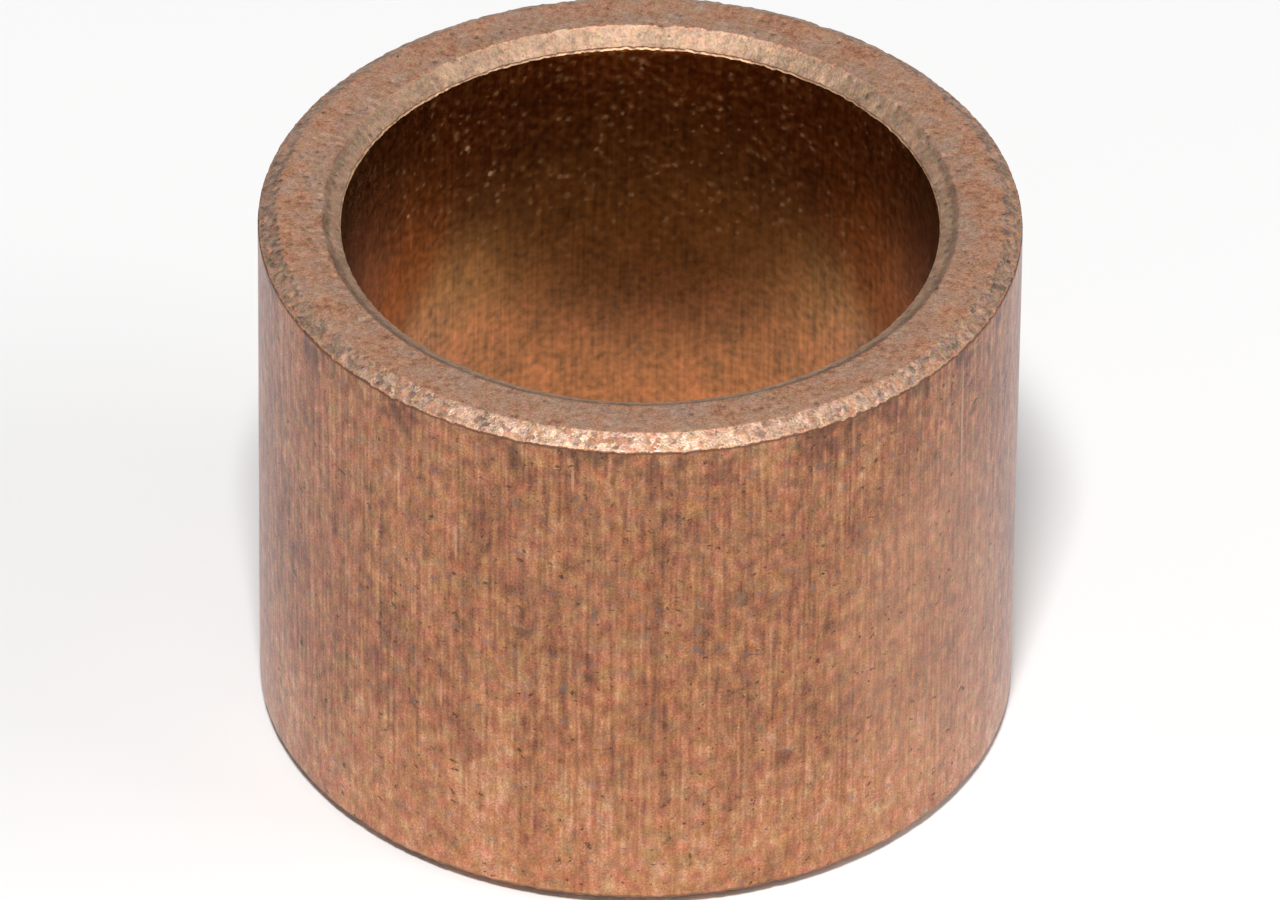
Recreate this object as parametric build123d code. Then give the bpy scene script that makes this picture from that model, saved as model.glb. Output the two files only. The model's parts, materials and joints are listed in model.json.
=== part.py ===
from build123d import *
from math import radians, tan
import os

# Starter bushing: a plain sleeve bearing, pressed from bronze powder, sintered and sized.
# It is one solid of revolution. Its axis is +Z and its origin is the centre of the lower end.
# Lengths are in millimetres and angles in degrees.

# Sleeve: the shaft sets the bore, and the wall round the bore sets the outside
bore_diameter = 12.5
wall = 1.75
length = 12.2

# Chamfer round the outside of each end, which leads the sleeve into its housing.
# Both chamfers' angles are measured from the end face.
outer_chamfer_width = 0.40
outer_chamfer_angle = 31.5

# Mouth of the bore at each end: a chamfer, a short step that the punch leaves at its foot,
# and the lip where the sizing pin has pressed the bore to its final diameter
mouth_chamfer_width = 0.36
mouth_chamfer_angle = 36.0
mouth_step = 0.06
lip_height = 0.04
lip_slope = 0.05

# Edges worn round by tumbling, over no more than this share of the chamfer beside them
edge_round = 0.08
lip_round = 0.03
largest_round_share = 0.25

# Radii from the axis and heights above mid-length that follow from the sizes
bore_radius = bore_diameter / 2
outer_radius = bore_radius + wall
step_radius = bore_radius + lip_height
end_height = length / 2
outer_chamfer_foot = end_height - outer_chamfer_width * tan(radians(outer_chamfer_angle))
mouth_chamfer_foot = end_height - mouth_chamfer_width * tan(radians(mouth_chamfer_angle))
lip_top = mouth_chamfer_foot - mouth_step
lip_foot = lip_top - lip_slope
narrower_chamfer = min(outer_chamfer_width, mouth_chamfer_width)


def corner_near(section, place):
    """The corner of the section that lies nearest to the place (radius, height)."""
    return section.vertices().sort_by_distance(place)[0]


def sleeve_section():
    """Section through the sleeve's wall. The upper half is drawn and rounded, then mirrored."""
    wall_end = (outer_radius, outer_chamfer_foot)
    face_outer_edge = (outer_radius - outer_chamfer_width, end_height)
    face_inner_edge = (step_radius + mouth_chamfer_width, end_height)
    lip_nose = (bore_radius, lip_foot)

    with BuildSketch(Plane.XZ) as section:
        with BuildLine():
            Polyline(
                (outer_radius, 0),
                wall_end,
                face_outer_edge,
                face_inner_edge,
                (step_radius, mouth_chamfer_foot),
                (step_radius, lip_top),
                lip_nose,
                (bore_radius, 0),
                close=True,
            )
        make_face()
        for place in (wall_end, face_outer_edge, face_inner_edge):
            fillet(corner_near(section, place), min(edge_round, largest_round_share * narrower_chamfer))
        fillet(corner_near(section, lip_nose), lip_round)
        mirror(about=Plane.XZ)
    return section.sketch


def bushing():
    """The sleeve: its section turned about the axis, and raised to stand on its lower end."""
    return Pos(0, 0, end_height) * revolve(sleeve_section(), Axis.Z)


os.makedirs("parts", exist_ok=True)
export_step(bushing(), "parts/bushing.step")
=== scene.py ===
"""Looks of a starter bushing: a bronze sleeve, pressed, sintered and sized, on a pale studio floor.

The sleeve is one closed surface of revolution whose edges and skin carry the small irregularities
of the real part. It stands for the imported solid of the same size. Lengths are in metres. A zone
is a place along the sleeve's section, counted in its corners: 2.5 is halfway from the corner
FACE_RIM to the corner MOUTH_RIM.
"""

import json
import logging
import math
from dataclasses import dataclass, replace
from enum import Enum, IntEnum

import bpy
import numpy as np
from mathutils import Matrix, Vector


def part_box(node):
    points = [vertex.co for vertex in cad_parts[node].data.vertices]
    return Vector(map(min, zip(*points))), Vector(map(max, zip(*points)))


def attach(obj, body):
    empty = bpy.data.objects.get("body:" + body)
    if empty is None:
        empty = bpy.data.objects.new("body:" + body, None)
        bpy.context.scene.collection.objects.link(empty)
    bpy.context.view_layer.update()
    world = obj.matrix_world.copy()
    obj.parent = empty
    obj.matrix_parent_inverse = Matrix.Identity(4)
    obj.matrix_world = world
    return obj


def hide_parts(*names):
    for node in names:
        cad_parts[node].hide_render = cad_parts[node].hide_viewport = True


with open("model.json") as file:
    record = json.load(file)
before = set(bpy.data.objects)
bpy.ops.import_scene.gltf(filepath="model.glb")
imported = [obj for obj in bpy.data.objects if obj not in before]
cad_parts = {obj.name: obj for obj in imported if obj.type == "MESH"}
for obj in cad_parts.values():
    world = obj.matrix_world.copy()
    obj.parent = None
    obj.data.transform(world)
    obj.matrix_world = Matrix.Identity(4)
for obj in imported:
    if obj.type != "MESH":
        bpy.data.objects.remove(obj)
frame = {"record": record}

MM = 0.001
LOG = logging.getLogger("bushing")

# What each vertex of the skin carries for its finish: its zone, and its share of the deepest pit
ZONE = "zone"
HOLLOW = "hollow"

# The film of oil, and the tint of the metal where it is seen at a low angle
OIL_IOR = 1.47
OIL_ROUGHNESS = 0.25
EDGE_TINT = (0.78, 0.88, 1.0, 1.0)

# Middle of the noises and random numbers that feed the finishes
MIDDLE = 0.5

# Red, green and blue as on a screen, and the lowest and highest of a row of values
Shade = tuple[int, int, int]
Span = tuple[float, float]

# How strongly patterns count, in the order in which the mix names them
Weights = tuple[float, ...]

# An output of a node, and what an input takes: such an output, or a plain value
Socket = bpy.types.NodeSocket
Source = Socket | float


class Finish(Enum):
    """The surfaces of the sleeve that look different, in the order of the mesh's material slots."""

    SIZED_WALL = 0
    PRESSED_END = 1
    SIZED_BORE = 2


class Corner(IntEnum):
    """The corners of half a section, in order from the outer wall over the end into the bore."""

    MID_WALL = 0
    CHAMFER_FOOT = 1
    FACE_RIM = 2
    MOUTH_RIM = 3
    MOUTH_FOOT = 4
    LIP_TOP = 5
    LIP_NOSE = 6
    MID_BORE = 7


@dataclass(frozen=True)
class SleeveSizes:
    """Sizes of the sleeve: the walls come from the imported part, the edges are the scene's own.

    Args:
        outer_radius: radius of the wall that is pressed into the housing.
        bore_radius: radius of the wall that the shaft runs in.
        length: height of the sleeve from end to end.
        outer_chamfer_width: width of the chamfer round the outside of each end.
        outer_chamfer_angle: its angle from the end face.
        mouth_chamfer_width: width of the chamfer at the mouth of the bore.
        mouth_chamfer_angle: its angle from the end face.
        rim_stock: metal beyond that width, which wear takes off the mouth's rim again.
        mouth_step: height of the step at the foot of the mouth's chamfer.
        lip_height: how far the step stands back from the bore.
        lip_slope: height of the slope between the step and the bore.
        edge_round: radius of the edges of the outer chamfer.
        rim_round: radius of the mouth's rim.
        foot_round: radius of the two inner corners of the step.
        lip_round: radius of the lip's nose.
    """

    outer_radius: float
    bore_radius: float
    length: float
    outer_chamfer_width: float = 0.40 * MM
    outer_chamfer_angle: float = math.radians(31.5)
    mouth_chamfer_width: float = 0.36 * MM
    mouth_chamfer_angle: float = math.radians(36.0)
    rim_stock: float = 0.016 * MM
    mouth_step: float = 0.04 * MM
    lip_height: float = 0.04 * MM
    lip_slope: float = 0.03 * MM
    edge_round: float = 0.08 * MM
    rim_round: float = 0.045 * MM
    foot_round: float = 0.015 * MM
    lip_round: float = 0.02 * MM

    @classmethod
    def from_frame(cls, record: dict) -> "SleeveSizes":
        """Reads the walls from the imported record's mounts.

        Args:
            record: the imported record.

        Returns:
            The sizes of the sleeve.
        """
        radius = {mount["name"]: mount["dims"].get("r_mm") for mount in record["mounts"]}
        low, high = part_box("bushing")
        return cls(radius["outer_wall"] * MM, radius["bore"] * MM, high.z - low.z)


@dataclass(frozen=True)
class LatticeNoise:
    """Smooth random field on the sleeve's skin, which closes on itself round the axis.

    Random values stand on a lattice and are joined by the cubic 3t^2 - 2t^3 both ways.

    Args:
        seed: seed of the random values.
        cells_around: lattice cells in one turn.
        cell_along: length of a lattice cell along the section.
        octaves: layers added up, each at twice the cells and the given share of strength.
        share: strength of each layer beside the one before.
    """

    seed: int
    cells_around: int
    cell_along: float
    octaves: int = 3
    share: float = 0.5

    def at(self, turn: np.ndarray, station: np.ndarray) -> np.ndarray:
        """Strength of the field, about -1 to 1.

        Args:
            turn: place round the axis, 0 to 1.
            station: distance along the section.

        Returns:
            The field at each place.
        """
        total = np.zeros(np.broadcast(turn, station).shape)
        for octave in range(self.octaves):
            cells = self.cells_around * 2**octave
            rng = np.random.default_rng(self.seed + octave)
            along = (station - station.min()) / self.cell_along * 2**octave
            values = rng.uniform(-1.0, 1.0, (int(along.max()) + 2, cells))
            around = turn * cells
            i, j = np.floor(along).astype(int), np.floor(around).astype(int)
            s, t = along - i, around - j
            s, t = s * s * (3 - 2 * s), t * t * (3 - 2 * t)
            near = values[i, j % cells] * (1 - t) + values[i, (j + 1) % cells] * t
            far = values[i + 1, j % cells] * (1 - t) + values[i + 1, (j + 1) % cells] * t
            total += (near * (1 - s) + far * s) * self.share**octave
        return total

    def raised(self, turn: np.ndarray, station: np.ndarray) -> np.ndarray:
        """The field raised by its largest possible strength, so that it is never below zero."""
        return self.at(turn, station) + sum(self.share**octave for octave in range(self.octaves))


@dataclass(frozen=True)
class PitField:
    """Round pits scattered over the sleeve's skin, one at most in each cell of a lattice.

    A pit stands at a random place in its cell. At distance d from its middle, with the pit's
    radius r, its depth is (1 - (d/r)^2)^2 of the full depth, and nothing beyond r.

    Args:
        seed: seed of the random places and sizes.
        cells_around: cells in one turn.
        cell_along: length of a cell along the section.
        filled: share of the cells that hold a pit.
        radius: radius of the widest pit, at most half a cell.
        depth: depth of the deepest pit.
        least_radius: radius of the smallest pit beside the widest.
        least_depth: depth of the shallowest pit beside the deepest.
    """

    seed: int
    cells_around: int
    cell_along: float
    filled: float
    radius: float
    depth: float
    least_radius: float = 1 / 2
    least_depth: float = 1 / 3

    def at(self, turn: np.ndarray, station: np.ndarray, reach: float) -> np.ndarray:
        """Depth of the pits.

        Args:
            turn: place round the axis, 0 to 1.
            station: distance along the section.
            reach: radius from the axis, which turns a share of a turn into a length.

        Returns:
            The depth at each place.
        """
        along, around = (station - station.min()) / self.cell_along, turn * self.cells_around
        rows = int(along.max()) + 3
        rng = np.random.default_rng(self.seed)
        shift_along, shift_around, size, luck = rng.uniform(0.0, 1.0, (4, rows, self.cells_around))
        cell_around = 2 * np.pi * reach / self.cells_around
        i, j = np.floor(along).astype(int), np.floor(around).astype(int)
        total = np.zeros(along.shape)
        for row_step in (-1, 0, 1):
            for column_step in (-1, 0, 1):
                row = np.clip(i + row_step, 0, rows - 1)
                column = (j + column_step) % self.cells_around
                gap_along = (along - i - row_step - shift_along[row, column]) * self.cell_along
                gap_around = (around - j - column_step - shift_around[row, column]) * cell_around
                growth = size[row, column]
                radius = self.radius * (self.least_radius + (1 - self.least_radius) * growth)
                near = np.clip(1 - (gap_along**2 + gap_around**2) / radius**2, 0.0, 1.0)
                deepest = self.depth * (self.least_depth + (1 - self.least_depth) * growth)
                held = luck[row, column] < self.filled
                total = np.maximum(total, np.where(held, near**2 * deepest, 0.0))
        return total


@dataclass(frozen=True)
class SectionCorner:
    """A corner of the section, for every column of the mesh at once.

    Args:
        radius: distance from the axis, one for each column.
        height: height above mid-length, one for each column.
        finish: finish of the straight run that follows the corner.
        run_rows: rows of the mesh on that run.
        rounding: radius of the arc that rounds the corner, or zero for a sharp one.
        arc_rows: rows of the mesh on that arc.
        crowding: power that crowds the run's rows: above 1 near this corner, below 1 near the next.
    """

    radius: np.ndarray
    height: np.ndarray
    finish: Finish
    run_rows: int
    rounding: float = 0.0
    arc_rows: int = 1
    crowding: float = 1.0

    def place(self) -> np.ndarray:
        """The corner as an array of (radius, height), one row for each column of the mesh."""
        return np.stack(np.broadcast_arrays(self.radius, self.height), axis=-1)

    def run_shares(self) -> np.ndarray:
        """Where the rows of the run stand, as shares of it."""
        return np.linspace(0.0, 1.0, self.run_rows + 2)[1:-1] ** self.crowding


@dataclass(frozen=True)
class HalfSection:
    """The rows of half a section, from mid-wall to mid-bore.

    Args:
        rows: radius and height of each row and column, of shape (rows, columns, 2).
        finish: finish of the faces after each row.
        zone: place of each row along the section, counted in corners.
    """

    rows: np.ndarray
    finish: np.ndarray
    zone: np.ndarray


@dataclass(frozen=True)
class SkinGrid:
    """The sleeve's surface as a grid that closes both ways.

    Args:
        points: place of each vertex, of shape (rows, columns, 3).
        zone: place of each vertex along the section, counted in corners.
        hollow: depth of the pit at each vertex, as a share of the deepest.
        finish: finish of the faces after each row.
    """

    points: np.ndarray
    zone: np.ndarray
    hollow: np.ndarray
    finish: np.ndarray


@dataclass(frozen=True)
class Wear:
    """How far an edge wanders round the axis, as chips and handling leave it.

    The wander is fine times a close noise, plus slow times a long one, less nick times whatever
    of a third noise stands above a level. Each noise's seed is counted on from the end's.

    Args:
        step: added to the seeds, so that no two edges wander alike.
        fine: size of the fine wander.
        slow: size of the slow wander.
        nick: size of the nicks, which lie on one side only.
        nick_level: level of the third noise at which a nick starts.
        chips: the close noise.
        drift: the long noise.
        nicks: the noise of the nicks.
    """

    step: int
    fine: float
    slow: float
    nick: float = 0.0
    nick_level: float = 0.55
    chips: LatticeNoise = LatticeNoise(0, cells_around=372, cell_along=MM, octaves=2, share=0.8)
    drift: LatticeNoise = LatticeNoise(50, cells_around=9, cell_along=MM, octaves=2)
    nicks: LatticeNoise = LatticeNoise(90, cells_around=186, cell_along=MM, octaves=2, share=0.7)

    def at(self, turn: np.ndarray, seed: int) -> np.ndarray:
        """The wander.

        Args:
            turn: place of each column round the axis, 0 to 1.
            seed: seed of the end.

        Returns:
            The wander at each column.
        """
        here = np.zeros_like(turn)
        chips, drift, nicks = (replace(noise, seed=noise.seed + seed + self.step).at(turn, here)
                               for noise in (self.chips, self.drift, self.nicks))
        nicked = np.clip(nicks - self.nick_level, 0.0, None)
        return self.fine * chips + self.slow * drift - self.nick * nicked


@dataclass(frozen=True)
class End:
    """One end of the sleeve, as the mesh has it.

    Args:
        seed: seed of its edges.
        chamfer_rows: rows of the mesh on the outer chamfer.
        face_rows: rows on the flat ring.
        mouth_rows: rows on the chamfer at the mouth.
    """

    seed: int
    chamfer_rows: int
    face_rows: int
    mouth_rows: int


@dataclass(frozen=True)
class SleeveSkin:
    """The sleeve's surface: its section carried round the axis, with worn edges, grooves and pits.

    Args:
        sizes: sizes of the sleeve.
        columns: columns of the mesh round the axis.
        wall_rows: rows on the outer wall of each half.
        wall_crowding: crowding of those rows towards the chamfer.
        bore_rows: rows on the bore of each half.
        bore_crowding: crowding of those rows towards the lip.
        upper: the upper end, which the photograph shows, with the finer mesh.
        lower: the lower end.
        foot_wear: wear of the edge between the wall and the outer chamfer.
        face_wear: wear of the edge between the outer chamfer and the ring.
        rim_wear: wear of the mouth's rim, which goes down along the mouth's chamfer.
        rim_loss: middle of that wear.
        mouth_wear: wear of the foot of the mouth's chamfer.
        mouth_tilt: how far that foot dips at the back and rises at the front.
        lip_wear: wear of the lip, on top of that of the foot above it.
        lip_gaps: how the step's width varies, in shares of the full width.
        lip_middle: middle of those shares.
        lip_span: least and most of those shares.
        grooves: noise of the grooves that the die and the pin leave along the walls.
        groove_depth: half the depth of the grooves, before their finer layer.
        swell: noise of the slow waves of the whole skin.
        wall_swell: half the depth of the waves on the walls.
        end_swell: half the depth of the waves on the ends.
        grain: noise of the powder's grain on the ends.
        grain_depth: half the depth of the grain.
        pits: pits on the ends.
        bore_calm: depth of the bore's relief beside that of the outer wall.
    """

    sizes: SleeveSizes
    columns: int = 744
    wall_rows: int = 18
    wall_crowding: float = 0.55
    bore_rows: int = 10
    bore_crowding: float = 1.8
    upper: End = End(seed=11, chamfer_rows=7, face_rows=12, mouth_rows=6)
    lower: End = End(seed=71, chamfer_rows=4, face_rows=5, mouth_rows=4)
    foot_wear: Wear = Wear(1, fine=0.011 * MM, slow=0.012 * MM, nick=0.05 * MM)
    face_wear: Wear = Wear(2, fine=0.006 * MM, slow=0.014 * MM)
    rim_wear: Wear = Wear(4, fine=0.022 * MM, slow=0.014 * MM)
    rim_loss: float = 0.02 * MM
    mouth_wear: Wear = Wear(3, fine=0.004 * MM, slow=0.02 * MM, nick=0.008 * MM)
    mouth_tilt: float = 0.035 * MM
    lip_wear: Wear = Wear(5, fine=0.015 * MM, slow=0.005 * MM)
    lip_gaps: Wear = Wear(6, fine=0.30, slow=0.25)
    lip_middle: float = 0.75
    lip_span: Span = (0.15, 1.2)
    grooves: LatticeNoise = LatticeNoise(301, cells_around=372, cell_along=6 * MM, octaves=2, share=0.6)
    groove_depth: float = 0.0022 * MM
    swell: LatticeNoise = LatticeNoise(302, cells_around=24, cell_along=2 * MM)
    wall_swell: float = 0.004 * MM
    end_swell: float = 0.003 * MM
    grain: LatticeNoise = LatticeNoise(303, cells_around=372, cell_along=0.11 * MM, octaves=1)
    grain_depth: float = 0.006 * MM
    pits: PitField = PitField(304, cells_around=124, cell_along=0.33 * MM, filled=0.3,
                              radius=0.13 * MM, depth=0.03 * MM)
    bore_calm: float = 0.4

    def corners(self, turn: np.ndarray, end: End) -> list[SectionCorner]:
        """Corners of one half's section, in the order of Corner.

        Args:
            turn: place of each column round the axis, 0 to 1.
            end: the end that the half has.

        Returns:
            The corners, with the wear of the edges worked in.
        """
        s = self.sizes
        top = s.length / 2
        here = np.zeros_like(turn)
        outer_foot = top - s.outer_chamfer_width * math.tan(s.outer_chamfer_angle)
        mouth_foot = top - s.mouth_chamfer_width * math.tan(s.mouth_chamfer_angle)
        lip_top = mouth_foot - s.mouth_step
        foot, face, rim, mouth, lip, gaps = (
            wear.at(turn, end.seed) for wear in (self.foot_wear, self.face_wear, self.rim_wear,
                                                 self.mouth_wear, self.lip_wear, self.lip_gaps))
        mouth = mouth - self.mouth_tilt * np.sin(2 * np.pi * turn)
        lip = mouth + lip
        step_radius = s.bore_radius + s.lip_height * np.clip(self.lip_middle + gaps, *self.lip_span)
        rim_radius = s.bore_radius + s.lip_height + s.mouth_chamfer_width + s.rim_stock
        rim = np.clip(self.rim_loss + rim, 0.0, None)
        wall, end_face, bore = Finish.SIZED_WALL, Finish.PRESSED_END, Finish.SIZED_BORE
        return [
            SectionCorner(s.outer_radius + here, here, wall, self.wall_rows,
                          crowding=self.wall_crowding),
            SectionCorner(s.outer_radius + here, outer_foot + foot, end_face, end.chamfer_rows,
                          s.edge_round, arc_rows=4),
            SectionCorner(s.outer_radius - s.outer_chamfer_width + face, top + here,
                          end_face, end.face_rows, s.edge_round, arc_rows=3),
            SectionCorner(rim_radius - rim * math.cos(s.mouth_chamfer_angle),
                          top - rim * math.sin(s.mouth_chamfer_angle),
                          end_face, end.mouth_rows, s.rim_round, arc_rows=3),
            SectionCorner(step_radius, mouth_foot + mouth, end_face, run_rows=1,
                          rounding=s.foot_round, arc_rows=2),
            SectionCorner(step_radius, lip_top + lip, end_face, run_rows=1,
                          rounding=s.foot_round, arc_rows=2),
            SectionCorner(s.bore_radius + here, lip_top - s.lip_slope + lip, bore, self.bore_rows,
                          s.lip_round, arc_rows=3, crowding=self.bore_crowding),
            SectionCorner(s.bore_radius + here, here, bore, run_rows=0),
        ]

    def half(self, turn: np.ndarray, end: End) -> HalfSection:
        """Rows of one half of the section, with its corners rounded.

        A corner with turn angle a and arc radius r starts its arc r tan(a/2) before it and ends
        it as far after it. The arc's point at angle b is the centre plus r in the direction that
        has turned by b.

        Args:
            turn: place of each column round the axis, 0 to 1.
            end: the end that the half has.

        Returns:
            The half section.
        """
        corners = self.corners(turn, end)
        places = [corner.place() for corner in corners]
        rows, finishes, middles = [], [], []
        for k, corner in enumerate(corners):
            if corner.rounding == 0.0:
                arc = [places[k]]
            else:
                before = self.unit(places[k] - places[k - 1])
                after = self.unit(places[k + 1] - places[k])
                bend = np.arctan2(self.cross(before, after), (before * after).sum(-1))
                setback = corner.rounding * np.tan(np.abs(bend) / 2)
                side = np.stack([-before[:, 1], before[:, 0]], -1) * np.sign(bend)[:, None]
                start = places[k] - before * setback[:, None]
                centre = start + side * corner.rounding
                arc = [centre + self.turned(start - centre, bend * share)
                       for share in np.linspace(0.0, 1.0, corner.arc_rows)]
            if rows:
                last = rows[-1]
                for share in corners[k - 1].run_shares():
                    rows.append(last + (arc[0] - last) * share)
                    finishes.append(corners[k - 1].finish)
            middles.append(len(rows) + (len(arc) - 1) / 2)
            rows.extend(arc)
            first_half = (len(arc) - 1) // 2
            finishes.extend([corners[max(k - 1, 0)].finish] * first_half)
            finishes.extend([corner.finish] * (len(arc) - first_half))
        section = np.stack(rows)
        step = np.linalg.norm(np.diff(section.mean(axis=1), axis=0), axis=-1)
        station = np.concatenate([[0.0], np.cumsum(step)])
        corner_station = np.interp(middles, np.arange(len(rows)), station)
        zone = np.interp(station, corner_station, list(Corner))
        return HalfSection(section, np.array([finish.value for finish in finishes]), zone)

    @staticmethod
    def unit(vectors: np.ndarray) -> np.ndarray:
        """The vectors at length 1."""
        return vectors / np.linalg.norm(vectors, axis=-1, keepdims=True)

    @staticmethod
    def cross(a: np.ndarray, b: np.ndarray) -> np.ndarray:
        """The flat cross product of two arrays of vectors."""
        return a[..., 0] * b[..., 1] - a[..., 1] * b[..., 0]

    @staticmethod
    def turned(vectors: np.ndarray, angle: np.ndarray) -> np.ndarray:
        """The vectors turned by the angles, by the usual cosine and sine rule.

        Args:
            vectors: flat vectors.
            angle: angle by which each is turned.

        Returns:
            The turned vectors.
        """
        c, s = np.cos(angle), np.sin(angle)
        x, y = vectors[..., 0], vectors[..., 1]
        return np.stack([c * x - s * y, s * x + c * y], -1)

    def surface(self) -> SkinGrid:
        """The whole surface.

        A point of the section at (radius, height) goes to (radius cos a, radius sin a, height)
        at the column's angle a, after it has been moved along its own normal by the relief.

        Returns:
            The grid.
        """
        turn = np.arange(self.columns) / self.columns
        upper, lower = self.half(turn, self.upper), self.half(turn, self.lower)
        lower_rows = lower.rows[::-1] * np.array([1.0, -1.0])
        section = np.concatenate([upper.rows, lower_rows[1:-1]])
        zone = np.concatenate([upper.zone, lower.zone[::-1][1:-1]])
        finish = np.concatenate([upper.finish[:-1], lower.finish[:-1][::-1]])

        tangent = self.unit(np.roll(section, -1, 0) - np.roll(section, 1, 0))
        normal = np.stack([tangent[..., 1], -tangent[..., 0]], -1)
        turns = np.broadcast_to(turn[None, :], section.shape[:2])
        depth, hollow = self.relief(section, turns, zone)
        section = section - normal * depth[..., None]

        angle = 2 * np.pi * turns
        points = np.stack([section[..., 0] * np.cos(angle), section[..., 0] * np.sin(angle),
                           section[..., 1] + self.sizes.length / 2], -1)
        return SkinGrid(points, np.broadcast_to(zone[:, None], turns.shape), hollow, finish)

    def relief(self, section: np.ndarray, turn: np.ndarray,
               zone: np.ndarray) -> tuple[np.ndarray, np.ndarray]:
        """How far each point lies below the true form. It is never above it.

        The walls have shallow grooves along the axis, the ends the grain of the powder and pits.

        Args:
            section: radius and height of each grid place.
            turn: place round the axis of each grid place, 0 to 1.
            zone: place along the section of each row, counted in corners.

        Returns:
            The depth of each grid place, and the pits' share of the deepest pit.
        """
        mean = section.mean(axis=1)
        step = np.linalg.norm(np.diff(mean, axis=0, append=mean[:1]), axis=-1)
        station = np.concatenate([[0.0], np.cumsum(step)[:-1]])
        stations = np.broadcast_to(station[:, None], turn.shape)
        grooves, swell, grain = (noise.raised(turn, stations)
                                 for noise in (self.grooves, self.swell, self.grain))
        wall_depth = self.groove_depth * grooves + self.wall_swell * swell
        end_depth = self.grain_depth * grain + self.end_swell * swell
        on_end = ((zone > Corner.CHAMFER_FOOT) & (zone < Corner.MOUTH_FOOT))[:, None]
        pit_depth = np.where(on_end, self.pits.at(turn, stations, self.sizes.outer_radius), 0.0)
        calm = np.where(zone > Corner.MOUTH_FOOT, self.bore_calm, 1.0)[:, None]
        depth = np.where(on_end, end_depth, wall_depth * calm) + pit_depth
        return depth, pit_depth / self.pits.depth

    def build(self, materials: list[bpy.types.Material]) -> bpy.types.Object:
        """Makes the mesh object.

        Args:
            materials: one for each finish, in the order of Finish.

        Returns:
            The object, at the origin.
        """
        grid = self.surface()
        rows, columns = grid.zone.shape
        i = np.arange(rows)[:, None]
        j = np.arange(columns)[None, :]
        next_i, next_j = (i + 1) % rows, (j + 1) % columns
        quads = np.stack(np.broadcast_arrays(i * columns + j, i * columns + next_j,
                                             next_i * columns + next_j, next_i * columns + j), -1)
        quads = quads.reshape(-1, 4)
        mesh = bpy.data.meshes.new("bushing_skin")
        mesh.vertices.add(rows * columns)
        mesh.vertices.foreach_set("co", grid.points.astype(np.float32).ravel())
        mesh.loops.add(quads.size)
        mesh.loops.foreach_set("vertex_index", quads.astype(np.int32).ravel())
        mesh.polygons.add(len(quads))
        mesh.polygons.foreach_set("loop_start", np.arange(0, quads.size, 4, dtype=np.int32))
        mesh.polygons.foreach_set("material_index", np.repeat(grid.finish, columns).astype(np.int32))
        mesh.polygons.foreach_set("use_smooth", np.ones(len(quads), bool))
        mesh.update(calc_edges=True)
        mesh.validate()
        for name, values in ((ZONE, grid.zone), (HOLLOW, grid.hollow)):
            layer = mesh.attributes.new(name, "FLOAT", "POINT")
            layer.data.foreach_set("value", values.astype(np.float32).ravel())
        for material in materials:
            mesh.materials.append(material)
        skin = bpy.data.objects.new("bushing_skin", mesh)
        bpy.context.scene.collection.objects.link(skin)
        return skin


@dataclass(frozen=True)
class Mark:
    """A single mark on one of the walls, as handling leaves it. Patches of painted light and shade are
    given as marks too.

    Args:
        azimuth: place round the axis in degrees, from the front towards the right.
        height: height of its middle above the lower end.
        width: its width round the axis.
        length: its length along the axis.
        strength: how strongly it covers the finish under it.
    """

    azimuth: float
    height: float
    width: float
    length: float
    strength: float = 0.5

    def place(self, radius: float) -> tuple[float, float, float]:
        """Middle of the mark. At azimuth a it stands at (radius sin a, -radius cos a, height)."""
        a = math.radians(self.azimuth)
        return (radius * math.sin(a), -radius * math.cos(a), self.height)

    @property
    def reach(self) -> tuple[float, float, float]:
        """Half-widths of the mark in X, Y and Z."""
        return (self.width / 2, self.width / 2, self.length / 2)


@dataclass(frozen=True)
class Lumps:
    """A smooth noise.

    Args:
        width: width of its lumps.
        drawn: how many times longer they are along the axis.
        layers: finer layers added to it.
    """

    width: float
    drawn: float = 1.0
    layers: float = 0.0


@dataclass(frozen=True)
class Ramp:
    """A smooth step: start at low, end at high, and level beyond them.

    Args:
        low: value at which the step starts. It may lie above high.
        high: value at which the step ends.
        start: result at low.
        end: result at high.
    """

    low: float
    high: float
    start: float = 0.0
    end: float = 1.0


@dataclass(frozen=True)
class Band:
    """A strength between low and high, and zero outside.

    Args:
        low: value at which the band starts.
        high: value at which it ends.
        edge: half-width of its soft edges.
        strength: result inside.
    """

    low: float
    high: float
    edge: float
    strength: float = 1.0


@dataclass(frozen=True)
class Spots:
    """Round spots in those cells whose luck lies between low and high.

    Args:
        low: luck from which a cell holds a spot.
        high: luck up to which a cell holds one.
        radius: radius of the largest spot. The smallest has half of it.
        soft: share of the radius over which a spot fades.
        strength: result in the middle of a spot.
    """

    low: float
    high: float
    radius: float
    soft: float
    strength: float


@dataclass(frozen=True)
class Scatter:
    """Random cells of a finish, as sockets.

    Args:
        distance: distance from the middle of the cell.
        luck: random number of the cell, 0 to 1.
        growth: size of the cell's spot beside the largest.
    """

    distance: Socket
    luck: Socket
    growth: Socket


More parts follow.
